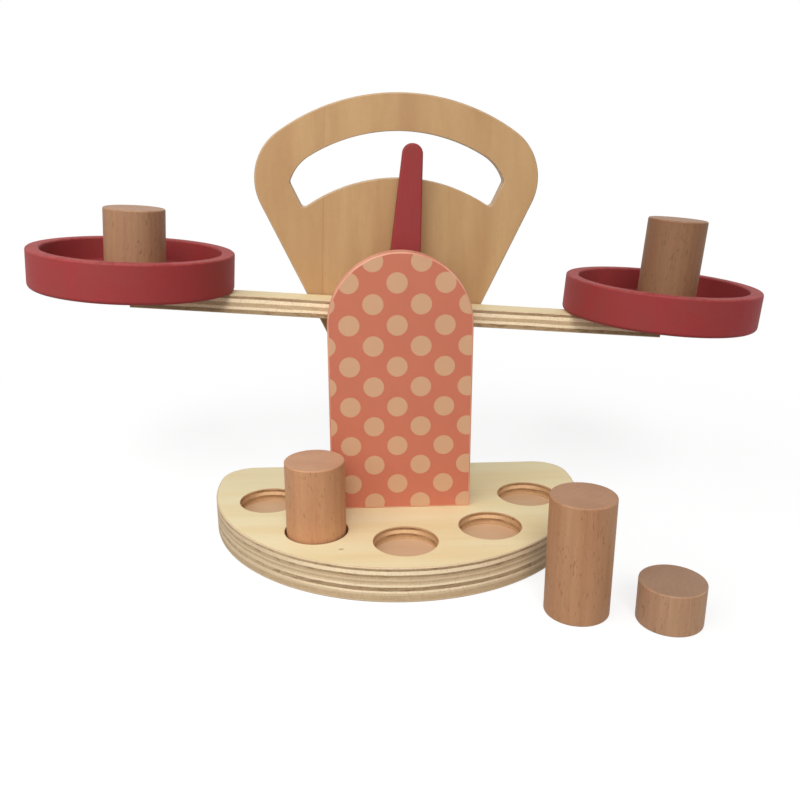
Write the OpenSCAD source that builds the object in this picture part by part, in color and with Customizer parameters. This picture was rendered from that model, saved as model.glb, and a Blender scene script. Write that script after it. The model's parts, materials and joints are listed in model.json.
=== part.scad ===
// Wooden balance scale toy, millimetres.
// The origin is on the table, below the middle of the axle: +X to the right pan, +Y to the
// back, +Z up. The balance is drawn as it rests, with its right pan down.

/* [Base] */
// Radius of the round front of the base
base_r = 102; // [98:1:125]
// Distance from the middle of the beam back to the centre of that round
base_centre_y = 17; // [10:1:24]
// Distance from the middle of the beam back to the straight edge of the base
base_back_y = 45; // [40:1:60]
// Thickness of the base
base_t = 18; // [15:0.5:24]
// Radius of the two back corners of the base
base_corner_r = 18; // [6:1:20]

/* [Weight recesses] */
// Radius of the circle on which the recesses lie
recess_circle_r = 74; // [70:1:80]
// Angle from one recess to the next
recess_step = 36.8; // [30:0.2:40]
// Depth of a recess
recess_depth = 7; // [4:0.5:10]
// Gap round a weight that stands in its recess
recess_gap = 1; // [0.5:0.1:2]

/* [Weights] */
// Diameter of every weight
weight_d = 30; // [24:1:32]
// Height of the smallest weight, which stands on the table
weight_1_h = 20; // [12:0.5:25]
// Height of the weight in the left pan
weight_2_h = 32.5; // [20:0.5:50]
// Height of the weight in the right pan
weight_3_h = 45; // [20:0.5:60]
// Height of the weight in its recess
weight_4_h = 45; // [20:0.5:60]
// Height of the tallest weight, which stands on the table
weight_5_h = 57.5; // [40:0.5:80]
// Bevel on the edges of a weight
weight_bevel = 0.8; // [0.3:0.1:1.5]
// Place of the smallest weight on the table, to the right of the middle
weight_1_x = 116; // [110:1:130]
// Place of the smallest weight on the table, in front of the middle
weight_1_y = 106.5; // [100:0.5:120]
// Shift of the left pan's weight to the right of the pan's middle
weight_2_x = 0.6; // [-10:0.2:10]
// Shift of the left pan's weight to the back of the pan's middle
weight_2_y = 1.5; // [-10:0.5:10]
// Shift of the right pan's weight to the right of the pan's middle
weight_3_x = 3; // [-10:0.2:10]
// Place of the tallest weight on the table, to the right of the middle
weight_5_x = 76.2; // [60:0.2:80]
// Place of the tallest weight on the table, in front of the middle
weight_5_y = 95.7; // [94:0.1:110]

/* [Boards] */
// Thickness of the front panel and of the dial board
board_t = 9; // [8:0.5:14]
// Width of the front panel, and of the post of the dial board
panel_w = 74; // [66:1:90]
// Height of the front panel above the base
panel_h = 136.5; // [120:0.5:150]
// Gap between the beam and each board
side_gap = 1.2; // [0.8:0.1:2]

/* [Dial board] */
// Height of the centre of the dial's arcs above the base
dial_centre_h = 105.2; // [100:0.2:115]
// Radius of the top edge of the dial
dial_r = 106; // [100:1:115]
// Greatest width of the dial
dial_w = 144.5; // [140:0.5:155]
// Radius of the dial's two wide corners
dial_corner_r = 28; // [20:1:32]
// Slope of the dial's sides away from upright
dial_side_angle = 25.4; // [20:0.1:30]
// Height of the rim above the window
window_rim = 18.3; // [14:0.1:22]
// Width of the rim at each end of the window
window_end_rim = 18; // [15:0.5:24]
// Height of the window in its middle
window_h = 22.8; // [16:0.2:26]
// Radius of the window's lower edge
window_low_r = 84.6; // [75:0.2:90]
// Radius of the window's lower corners
window_corner_r = 2.5; // [1:0.5:4]
// Radius of the window's upper corners
window_shoulder_r = 13; // [4:0.5:16]

/* [Beam] */
// Distance from the middle of the beam to each end
beam_half = 136.8; // [130:0.2:150]
// Thickness of the beam
beam_t = 9.5; // [8:0.5:14]
// Depth of the beam from front to back
beam_d = 15; // [13:0.5:20]
// Tilt of the beam as it rests, and as far again past level on the other side
beam_tilt = 4.1; // [3:0.1:6]
// Height of the axle above the base
axle_h = 86; // [80:0.5:95]
// Distance from the axle up to the middle of the beam
axle_drop = 17.5; // [15:0.5:22]

/* [Needle] */
// Distance from the axle to the tip of the needle
needle_reach = 101.5; // [90:0.5:104]
// Width of the needle where it meets the beam
needle_w = 18; // [12:0.5:24]
// Radius of the needle's tip
needle_tip_r = 5.1; // [3:0.1:6]
// Thickness of the needle
needle_t = 6; // [4:0.5:9]
// Width of the tenon at the needle's foot
tenon_w = 12; // [8:0.5:14]

/* [Pans] */
// Distance from the middle of the beam to the middle of each pan
pan_reach = 136.3; // [130:0.1:150]
// Outer diameter of a pan
pan_d = 100; // [90:1:110]
// Height of a pan
pan_h = 19; // [15:0.5:24]
// Thickness of a pan's wall
pan_wall = 6.5; // [5:0.5:9]
// Thickness of a pan's floor
pan_floor = 6.5; // [5:0.5:9]
// Radius of the edge round the foot of a pan
pan_foot_r = 2; // [1:0.5:3]
// Radius of the two edges of a pan's rim
pan_rim_r = 1; // [0.5:0.5:2]

/* [Hub] */
// Width of the block that hangs under the beam
hub_w = 34; // [30:1:38]
// Distance from the axle down to the underside of the block
hub_drop = 13; // [10:0.5:20]
// Diameter of the axle
axle_d = 6; // [5:0.5:7]
// Wall of the bush
bush_wall = 1.5; // [1:0.1:2]
// Depth of the blind hole that holds each end of the axle
axle_seat = 6; // [5:0.5:7]
// Diameter of the washers
washer_d = 16; // [12:0.5:20]

/* [Stops and spacer] */
// Diameter of the two stop dowels
stop_d = 8; // [6:0.5:9]
// Distance of a stop dowel from the middle
stop_x = 28; // [26:0.5:30]
// Depth of the blind holes that hold the stop dowels
stop_seat = 5; // [4:0.5:6]
// Width of the spacer block between the boards
spacer_w = 60; // [50:1:66]
// Height of the spacer block
spacer_h = 30; // [24:1:36]

/* [Screws] */
// Diameter of the shank of the base screws
base_screw_d = 3.5; // [3:0.1:4]
// Length of the base screws
base_screw_l = 38; // [32:1:42]
// Diameter of the shank of the hub screws and the pan screws
small_screw_d = 3; // [2.5:0.1:3.5]
// Length of the hub screws
hub_screw_l = 20; // [16:1:24]
// Length of the pan screws
pan_screw_l = 13; // [12:0.5:14]

/* [Fits] */
// Gap round the axle in its bush
running_gap = 0.05; // [0.02:0.01:0.1]
// Gap round glued dowels, tenon, bush and screws
glue_gap = 0.04; // [0.01:0.01:0.1]
// Gap at each face of a washer
washer_gap = 0.05; // [0.02:0.01:0.1]
// Gap between the beam and the stop dowel that it rests on
stop_gap = 0.1; // [0.05:0.05:0.3]

/* [Hidden] */
$fn = 96;

// A cut runs this far past the face that it opens
overrun = 1;
// Room left at the closed end of a blind hole
end_gap = 0.3;

// The boards stand on the base, one in front of the beam and one behind it
slot_d = beam_d + 2 * side_gap;
panel_front_y = -slot_d / 2 - board_t;
dial_front_y = slot_d / 2;
board_mid_y = slot_d / 2 + board_t / 2;
arch_r = panel_w / 2;
arch_z = base_t + panel_h - arch_r;
axle_z = base_t + axle_h;

// The base's back corners roll along its round and touch its straight back edge
base_corner_y = base_back_y - base_centre_y - base_corner_r;
base_corner_x = sqrt(pow(base_r - base_corner_r, 2) - pow(base_corner_y, 2));
// The wedge behind them reaches this many times as far as their centres
base_wedge_share = 2 * base_r / base_corner_y;

// Five recesses, the middle one straight in front of the panel
RECESSES = [-2, -1, 0, 1, 2];
weight_r = weight_d / 2;
recess_r = weight_r + recess_gap;
filled_recess = -1;

// Dial arcs share one centre; the wide corners roll along the top arc and touch the sides
dial_z = base_t + dial_centre_h;
corner_x = dial_w / 2 - dial_corner_r;
corner_rise = sqrt(pow(dial_r - dial_corner_r, 2) - pow(corner_x, 2));
corner_share = dial_r / (dial_r - dial_corner_r);
arc_end_x = corner_x * corner_share;
arc_end_z = dial_z + corner_rise * corner_share;
side_touch_x = corner_x + dial_corner_r * cos(dial_side_angle);
side_touch_z = dial_z + corner_rise - dial_corner_r * sin(dial_side_angle);
side_foot_z = side_touch_z - (side_touch_x - arch_r) / tan(dial_side_angle);
window_r = dial_r - window_rim;
window_top_z = dial_z + window_r;
window_low_z = window_top_z - window_h - window_low_r;
window_inset = window_end_rim / cos(dial_side_angle);
fan_rise = window_top_z + window_rim - side_foot_z;

// Heights in the balance are measured from the axle, square to the beam
beam_low = axle_drop - beam_t / 2;
beam_high = axle_drop + beam_t / 2;
pan_inside = beam_high + pan_floor;
pan_r = pan_d / 2;
bush_r = axle_d / 2 + running_gap + bush_wall;
// The needle's flanks touch the round of its tip
tip_z = needle_reach - needle_tip_r;
tip_slope = atan((needle_w / 2 - needle_tip_r) / (tip_z - beam_high));
tip_steps = 24;
// The dowel's centre lies a radius and a gap below the underside of the tilted beam
stop_r = stop_d / 2;
stop_rise = (beam_low - stop_r - stop_gap - stop_x * sin(beam_tilt)) / cos(beam_tilt);
stop_z = axle_z + stop_rise;

// Screws: heads, their sink below the surface and where they stand
head_share = 2;
point_share = 1.2;
slot_share = 0.3;
head_sink = 0.4;
board_screw_x = panel_w / 3;
spacer_screw_x = spacer_w / 4;
hub_screw_x = (hub_w / 2 + tenon_w / 2) / 2 + glue_gap;
PAN_SCREW_SHARES = [0.15, 0.7];

// Stands flat outlines drawn in X and Z upright, as one board of the given depth
module board(front_y, depth)
    translate([0, front_y + depth, 0])
        rotate([90, 0, 0])
            for (i = [0:$children - 1])
                linear_extrude(height = depth)
                    children(i);

// A round bar or hole from front to back
module cross_bar(x, z, r, front_y, back_y)
    translate([x, back_y, z])
        rotate([90, 0, 0])
            cylinder(h = back_y - front_y, r = r);

// Moves a piece drawn round the axle to its place in the tilted balance
module in_balance()
    translate([0, 0, axle_z])
        rotate([0, beam_tilt, 0])
            children();

// Countersunk screw that points up, with its head's face at height 0 and a cross slot in it
module screw(d, len) {
    head_r = head_share * d / 2;
    head_l = head_r - d / 2;
    slot_w = slot_share * d;
    point_l = point_share * d;
    difference() {
        union() {
            cylinder(h = head_l, r1 = head_r, r2 = d / 2);
            cylinder(h = len - point_l, r = d / 2);
            translate([0, 0, len - point_l])
                cylinder(h = point_l, r1 = d / 2, r2 = slot_w / 2);
        }
        for (turn = [0, 90])
            rotate([0, 0, turn])
                translate([-d / 2, -slot_w / 2, -overrun])
                    cube([d, slot_w, overrun + head_l / 2]);
    }
}

// Hole for that screw, open below its head
module screw_hole(d, len) {
    head_r = head_share * d / 2;
    head_l = head_r - d / 2;
    cylinder(h = len + end_gap, r = d / 2 + glue_gap);
    cylinder(h = head_l, r1 = head_r + glue_gap, r2 = d / 2 + glue_gap);
    translate([0, 0, -head_sink - overrun])
        cylinder(h = head_sink + overrun, r = head_r + glue_gap);
}

// Weight with bevelled edges, standing at height 0
module weight(h)
    rotate_extrude()
        polygon([
            [0, 0],
            [weight_r - weight_bevel, 0],
            [weight_r, weight_bevel],
            [weight_r, h - weight_bevel],
            [weight_r - weight_bevel, h],
            [0, h]
        ]);

function recess_at(i) = [
    recess_circle_r * sin(i * recess_step),
    base_centre_y - recess_circle_r * cos(i * recess_step)
];

// The round front of the base, without the wedge behind its corners
module base_round()
    difference() {
        circle(r = base_r);
        polygon([
            [0, 0],
            [base_corner_x * base_wedge_share, base_corner_y * base_wedge_share],
            [-base_corner_x * base_wedge_share, base_corner_y * base_wedge_share]
        ]);
    }

module base_corner(side)
    translate([side * base_corner_x, base_corner_y])
        circle(r = base_corner_r);

// The back of the base between its corners; its point reaches forward into the round
module base_back()
    polygon([
        [0, -base_corner_y],
        [base_corner_x, base_corner_y],
        [base_corner_x, base_corner_y + base_corner_r],
        [-base_corner_x, base_corner_y + base_corner_r],
        [-base_corner_x, base_corner_y]
    ]);

// Where the six base screws stand
function base_screw_places() = [
    for (y = [-board_mid_y, 0, board_mid_y])
        for (side = [-1, 1])
            [side * (y == 0 ? spacer_screw_x : board_screw_x), y]
];

module base_screw_holes()
    for (place = base_screw_places())
        translate([place[0], place[1], head_sink])
            screw_hole(base_screw_d, base_screw_l);

module base_board() color("burlywood")
    difference() {
        translate([0, base_centre_y, 0]) {
            linear_extrude(height = base_t) base_round();
            linear_extrude(height = base_t) base_corner(-1);
            linear_extrude(height = base_t) base_corner(1);
            linear_extrude(height = base_t) base_back();
        }
        for (i = RECESSES)
            translate([recess_at(i)[0], recess_at(i)[1], base_t - recess_depth])
                cylinder(h = recess_depth + overrun, r = recess_r);
        base_screw_holes();
    }

// Blind holes in a board for the axle and the stop dowels; the board's inner face is at face_y
// and its wood lies on the side that side gives
module blind_holes(face_y, side) {
    depths = [axle_seat + end_gap, stop_seat + end_gap];
    function near(depth) = min(face_y - side * overrun, face_y + side * depth);
    function far(depth) = max(face_y - side * overrun, face_y + side * depth);
    cross_bar(0, axle_z, axle_d / 2 + glue_gap, near(depths[0]), far(depths[0]));
    for (x = [-stop_x, stop_x])
        cross_bar(x, stop_z, stop_r + glue_gap, near(depths[1]), far(depths[1]));
}

module front_panel() color("salmon")
    difference() {
        board(panel_front_y, board_t) {
            translate([-arch_r, base_t])
                square([panel_w, panel_h - arch_r]);
            translate([0, arch_z])
                circle(r = arch_r);
        }
        blind_holes(-slot_d / 2, -1);
        base_screw_holes();
    }

// Top of the dial, above the points where its arc meets the wide corners
module dial_cap()
    intersection() {
        translate([0, dial_z])
            circle(r = dial_r);
        translate([-dial_r, arc_end_z])
            square([2 * dial_r, dial_r]);
    }

module dial_corner(side)
    translate([side * corner_x, dial_z + corner_rise])
        circle(r = dial_corner_r);

// Post that flares to the dial; its point reaches up into the cap
module dial_post()
    polygon([
        [0, arc_end_z + window_rim / 2],
        [arc_end_x, arc_end_z],
        [side_touch_x, side_touch_z],
        [arch_r, side_foot_z],
        [arch_r, base_t],
        [-arch_r, base_t],
        [-arch_r, side_foot_z],
        [-side_touch_x, side_touch_z],
        [-arc_end_x, arc_end_z]
    ]);

// Part of the window's upper circle between its sloping ends
module window_fan()
    intersection() {
        translate([0, dial_z])
            circle(r = window_r);
        polygon([
            [arch_r - window_inset, side_foot_z],
            [arch_r - window_inset + fan_rise * tan(dial_side_angle), side_foot_z + fan_rise],
            [-arch_r + window_inset - fan_rise * tan(dial_side_angle), side_foot_z + fan_rise],
            [-arch_r + window_inset, side_foot_z]
        ]);
    }

// Opening between the window's two arcs and its sloping ends
module window_outline()
    offset(r = window_corner_r)
        offset(delta = -window_corner_r)
            difference() {
                offset(r = window_shoulder_r)
                    offset(delta = -window_shoulder_r)
                        window_fan();
                translate([0, window_low_z])
                    circle(r = window_low_r);
            }

module dial_board() color("tan")
    difference() {
        board(dial_front_y, board_t) {
            dial_cap();
            dial_corner(-1);
            dial_corner(1);
            dial_post();
        }
        board(dial_front_y - overrun, board_t + 2 * overrun)
            window_outline();
        blind_holes(slot_d / 2, 1);
        base_screw_holes();
    }

module spacer_block() color("wheat")
    difference() {
        board(-slot_d / 2, slot_d)
            translate([-spacer_w / 2, base_t])
                square([spacer_w, spacer_h]);
        base_screw_holes();
    }

module stop_dowel(x) color("wheat")
    cross_bar(x, stop_z, stop_r, -slot_d / 2 - stop_seat, slot_d / 2 + stop_seat);

module left_stop_dowel() stop_dowel(-stop_x);
module right_stop_dowel() stop_dowel(stop_x);

module axle() color("silver")
    cross_bar(0, axle_z, axle_d / 2, -slot_d / 2 - axle_seat, slot_d / 2 + axle_seat);

// Washer in the gap between the hub and a board, centred on the given distance from the middle
module washer(mid_y) color("silver")
    difference() {
        thick = side_gap - 2 * washer_gap;
        cross_bar(0, axle_z, washer_d / 2, mid_y - thick / 2, mid_y + thick / 2);
        cross_bar(0, axle_z, axle_d / 2 + running_gap, mid_y - overrun, mid_y + overrun);
    }

module front_washer() washer(-beam_d / 2 - side_gap / 2);
module rear_washer() washer(beam_d / 2 + side_gap / 2);

module base_screws() color("silver")
    for (place = base_screw_places())
        translate([place[0], place[1], head_sink])
            screw(base_screw_d, base_screw_l);

// Places the hub's screws, which point down from the top of the beam
module at_hub_screws()
    for (side = [-1, 1])
        translate([side * hub_screw_x, 0, beam_high - head_sink])
            rotate([180, 0, 0])
                children();

// Places the pans' screws, which point up from the underside of the beam
module at_pan_screws()
    for (side = [-1, 1])
        for (share = PAN_SCREW_SHARES)
            translate([side * (pan_reach - share * pan_r), 0, beam_low + head_sink])
                children();

module beam() color("wheat")
    in_balance()
        difference() {
            translate([-beam_half, -beam_d / 2, beam_low])
                cube([2 * beam_half, beam_d, beam_t]);
            mortise_w = tenon_w + 2 * glue_gap;
            mortise_d = needle_t + 2 * glue_gap;
            translate([-mortise_w / 2, -mortise_d / 2, beam_low - overrun])
                cube([mortise_w, mortise_d, beam_t + 2 * overrun]);
            at_hub_screws() screw_hole(small_screw_d, hub_screw_l);
            at_pan_screws() screw_hole(small_screw_d, pan_screw_l);
        }

module hub_block() color("burlywood")
    in_balance()
        difference() {
            translate([-hub_w / 2, -beam_d / 2, -hub_drop])
                cube([hub_w, beam_d, hub_drop + beam_low]);
            cross_bar(0, 0, bush_r + glue_gap, -beam_d / 2 - overrun, beam_d / 2 + overrun);
            at_hub_screws() screw_hole(small_screw_d, hub_screw_l);
        }

module hub_bush() color("goldenrod")
    in_balance()
        difference() {
            cross_bar(0, 0, bush_r, -beam_d / 2, beam_d / 2);
            cross_bar(0, 0, axle_d / 2 + running_gap, -beam_d / 2 - overrun, beam_d / 2 + overrun);
        }

module hub_screws() color("silver")
    in_balance()
        at_hub_screws() screw(small_screw_d, hub_screw_l);

// Points of the needle's round tip, from its right flank to its left
function tip_points() = [
    for (i = [0:tip_steps])
        let (turn = tip_slope + i * (180 - 2 * tip_slope) / tip_steps)
        [needle_tip_r * cos(turn), tip_z + needle_tip_r * sin(turn)]
];

// The tenon goes through the beam and rests on the hub block
module needle() color("firebrick")
    in_balance()
        board(-needle_t / 2, needle_t)
            polygon(concat(
                [[tenon_w / 2, beam_low], [tenon_w / 2, beam_high], [needle_w / 2, beam_high]],
                tip_points(),
                [[-needle_w / 2, beam_high], [-tenon_w / 2, beam_high], [-tenon_w / 2, beam_low]]
            ));

// Turned tray on top of the beam, at side -1 or 1
module pan(side)
    in_balance()
        difference() {
            translate([side * pan_reach, 0, beam_high])
                rotate_extrude()
                    pan_section();
            at_pan_screws() screw_hole(small_screw_d, pan_screw_l);
        }

// Half section of a pan, with rounded foot and rim
module pan_section() {
    inner_r = pan_r - pan_wall;
    square([pan_r - pan_foot_r, pan_floor]);
    translate([0, pan_foot_r])
        square([pan_r, pan_floor - pan_foot_r]);
    translate([pan_r - pan_foot_r, pan_foot_r])
        circle(r = pan_foot_r);
    translate([inner_r, pan_foot_r])
        square([pan_wall, pan_h - pan_rim_r - pan_foot_r]);
    translate([inner_r + pan_rim_r, pan_floor])
        square([pan_wall - 2 * pan_rim_r, pan_h - pan_floor]);
    for (r = [inner_r + pan_rim_r, pan_r - pan_rim_r])
        translate([r, pan_h - pan_rim_r])
            circle(r = pan_rim_r);
}

module left_pan() color("indianred") pan(-1);
module right_pan() color("indianred") pan(1);

module pan_screws() color("silver")
    in_balance()
        at_pan_screws() screw(small_screw_d, pan_screw_l);

module weight_1() color("peru")
    translate([weight_1_x, -weight_1_y, 0])
        weight(weight_1_h);

module weight_2() color("peru")
    in_balance()
        translate([-pan_reach + weight_2_x, weight_2_y, pan_inside])
            weight(weight_2_h);

module weight_3() color("peru")
    in_balance()
        translate([pan_reach + weight_3_x, 0, pan_inside])
            weight(weight_3_h);

module weight_4() color("peru")
    translate([recess_at(filled_recess)[0], recess_at(filled_recess)[1], base_t - recess_depth])
        weight(weight_4_h);

module weight_5() color("peru")
    translate([weight_5_x, -weight_5_y, 0])
        weight(weight_5_h);

base_board();
front_panel();
dial_board();
spacer_block();
left_stop_dowel();
right_stop_dowel();
axle();
front_washer();
rear_washer();
base_screws();
beam();
hub_block();
hub_bush();
hub_screws();
needle();
left_pan();
right_pan();
pan_screws();
weight_1();
weight_2();
weight_3();
weight_4();
weight_5();
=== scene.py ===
"""Looks of a wooden balance scale toy, built round its solid parts."""

import json
from math import acos, atan2, cos, degrees, radians, sin, tan

import bmesh
import bpy
from bpy.props import FloatProperty, FloatVectorProperty, IntProperty, PointerProperty
from bpy.types import Operator, Panel, PropertyGroup
from mathutils import Matrix, Vector


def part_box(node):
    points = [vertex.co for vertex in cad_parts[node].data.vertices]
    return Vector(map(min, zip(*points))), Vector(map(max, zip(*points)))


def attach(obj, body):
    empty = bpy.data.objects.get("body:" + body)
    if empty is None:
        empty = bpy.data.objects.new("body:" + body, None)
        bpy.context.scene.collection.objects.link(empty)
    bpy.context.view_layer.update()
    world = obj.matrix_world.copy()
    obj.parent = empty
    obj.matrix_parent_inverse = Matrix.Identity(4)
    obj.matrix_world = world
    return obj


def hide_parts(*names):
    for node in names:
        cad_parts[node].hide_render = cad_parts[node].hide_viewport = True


bl_info = {
    "name": "Wooden balance scale toy",
    "version": (1, 0, 0),
    "blender": (4, 5, 0),
    "location": "3D View > Sidebar > Balance",
    "description": "Builds the visible pieces and the finishes of a wooden balance scale toy",
    "category": "Object",
}

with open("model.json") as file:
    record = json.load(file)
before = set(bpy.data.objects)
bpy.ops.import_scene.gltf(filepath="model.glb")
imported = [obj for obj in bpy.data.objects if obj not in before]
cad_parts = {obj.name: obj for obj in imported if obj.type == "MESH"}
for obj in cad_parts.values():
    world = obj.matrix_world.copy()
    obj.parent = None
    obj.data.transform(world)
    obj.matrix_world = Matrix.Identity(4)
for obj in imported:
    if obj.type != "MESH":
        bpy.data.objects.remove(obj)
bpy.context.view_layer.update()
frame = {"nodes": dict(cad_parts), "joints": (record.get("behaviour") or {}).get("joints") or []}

MM = 0.001
STRAIGHT = Matrix.Identity(4)

# Points nearer to each other than this are one
WELD = 0.001 * MM

# Places in a board's list of finishes
FACE, EDGE, FLOOR, POCKET = range(4)

hinge = next(joint for joint in frame["joints"] if joint["name"] == "beam_tilt")
hinge_place = Vector(hinge["pos_m"])
# The beam lies as far off level at rest as it can swing past level
rest_tilt = radians(hinge["range_deg"][1] / 2)
# The balance's own frame, with the axle at its origin
on_balance = Matrix.Translation(hinge_place) @ Matrix.Rotation(rest_tilt, 4, "Y")
# The frame of a board that stands up
upright = Matrix.Rotation(radians(90), 4, "X")

base_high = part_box("base_board")[1]
panel_low, panel_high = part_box("front_panel")
dial_low, dial_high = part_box("dial_board")


# Sizes and colours

def length(name, description, millimetres):
    """A size that the sidebar shows in the scene's own unit."""
    return FloatProperty(name=name, description=description, default=millimetres * MM,
                         unit="LENGTH", precision=5)


def angle(name, description, turn):
    """An angle, given in degrees."""
    return FloatProperty(name=name, description=description, default=radians(turn),
                         subtype="ANGLE", unit="ROTATION")


def linear(level):
    """A screen level from 0 to 255 as the light that it stands for."""
    level /= 255
    return level / 12.92 if level <= 0.04045 else ((level + 0.055) / 1.055) ** 2.4


def colour(name, description, *levels):
    """A colour, given by its screen levels of red, green and blue."""
    return FloatVectorProperty(name=name, description=description, size=3, subtype="COLOR",
                               min=0, max=1, default=[linear(level) for level in levels])


class StandSizes(PropertyGroup):
    """Sizes of the base, the front panel and the dial board."""
    base_centre: length("Base centre", "Distance of the round edge's centre behind the axle", 17)
    base_corner: length("Base corner", "Rounding of the base's two back corners", 18)
    board_ease: length("Board easing", "Rounding along the edges of the boards", 0.8)
    window_ease: length("Window easing", "Rounding along the edges of the window", 0.48)
    recess_circle: length("Recess circle", "Distance of the recesses from the round edge's centre", 74)
    recess_step: angle("Recess step", "Angle between one recess and the next", 36.8)
    recess_radius: length("Recess radius", "Radius of a weight recess", 16)
    recess_depth: length("Recess depth", "Depth of a weight recess", 7)
    recess_lip: length("Recess lip", "Rounding of a weight recess's rim", 0.35)
    recess_count: IntProperty(name="Recesses", description="Number of weight recesses",
                              default=5, min=1)
    screw_shank: length("Screw hole", "Radius of the holes for the base screws", 1.79)
    screw_head: length("Screw sink", "Radius of the sinks for the base screws", 3.54)
    dial_centre: length("Dial centre", "Height of the middle of the dial's round top", 123.2)
    dial_width: length("Dial width", "Greatest width of the dial board", 144.5)
    dial_corner: length("Dial corner", "Rounding of the dial board's shoulders", 28)
    dial_flare: angle("Dial flare", "Lean of the dial board's sloping sides", 25.4)
    window_rim: length("Window rim", "Width of the rim above the window", 18.3)
    window_end: length("Window end", "Width of the rim beside the window", 18)
    window_height: length("Window height", "Height of the window in its middle", 22.8)
    window_low: length("Window sill", "Radius of the window's lower edge", 84.6)
    window_corner: length("Window corner", "Rounding of the window's four corners", 2.5)
    window_bend: length("Window bend", "Radius of the window's upper edge near its ends", 23)
    window_overrun: length("Window overrun", "Reach of that bend past the sloping ends", 6.4)
    dots_across: length("Dot spacing", "Distance from one dot to the next one beside it", 24.27)
    dots_up: length("Dot rise", "Distance from one dot to the next one above it", 21.45)
    dots_right: length("Dot place", "Distance of one dot to the right of the panel's middle", -1.8)
    dots_high: length("Dot height", "Height of that dot above the table", 139.2)
    dot_radius: length("Dot radius", "Radius of a dot", 5.05)


class BalanceSizes(PropertyGroup):
    """Sizes of the beam, the needle, the pans and the weights."""
    beam_half: length("Beam reach", "Half the length of the beam", 136.8)
    beam_depth: length("Beam depth", "Depth of the beam from front to back", 15)
    beam_low: length("Beam underside", "Height of the beam's underside above the axle", 12.75)
    beam_high: length("Beam top", "Height of the beam's top above the axle", 22.25)
    beam_ease: length("Beam easing", "Rounding along the beam's edges", 0.6)
    needle_reach: length("Needle reach", "Height of the needle's tip above the axle", 101.5)
    needle_foot: length("Needle foot", "Width of the needle where it meets the beam", 18)
    needle_tip: length("Needle tip", "Radius of the needle's round tip", 5.1)
    needle_thick: length("Needle thickness", "Thickness of the needle", 6)
    needle_ease: length("Needle easing", "Rounding along the needle's edges", 0.9)
    tenon: length("Needle tenon", "Width of the tenon through the beam", 12)
    tenon_room: length("Tenon room", "Glue gap all round the tenon", 0.04)
    pan_reach: length("Pan reach", "Distance of a pan's middle from the axle", 136.3)
    pan_radius: length("Pan radius", "Outer radius of a pan", 50)
    pan_height: length("Pan height", "Height of a pan", 19)
    pan_wall: length("Pan wall", "Thickness of a pan's wall", 6.5)
    pan_floor: length("Pan floor", "Thickness of a pan's floor", 6.5)
    pan_foot: length("Pan foot", "Rounding of a pan's foot", 2)
    pan_rim: length("Pan rim", "Rounding of a pan's rim", 1)
    pan_cove: length("Pan cove", "Rounding where a pan's wall meets its floor", 1.5)
    pan_facets: IntProperty(name="Pan facets", description="Number of flat strips round a pan",
                            default=128, min=3)
    weight_radius: length("Weight radius", "Radius of the weights", 15)
    weight_edge: length("Weight edge", "Rounding of a weight's two edges", 0.8)
    weight_facets: IntProperty(name="Weight facets",
                               description="Number of flat strips round a weight",
                               default=96, min=3)
    small_screw: length("Small screw hole", "Radius of the holes for the beam's screws", 1.54)
    small_head: length("Small screw sink", "Radius of the sinks for the beam's screws", 3.04)
    head_sink: length("Screw depth", "Depth of a screw's head below the surface", 0.4)


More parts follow.
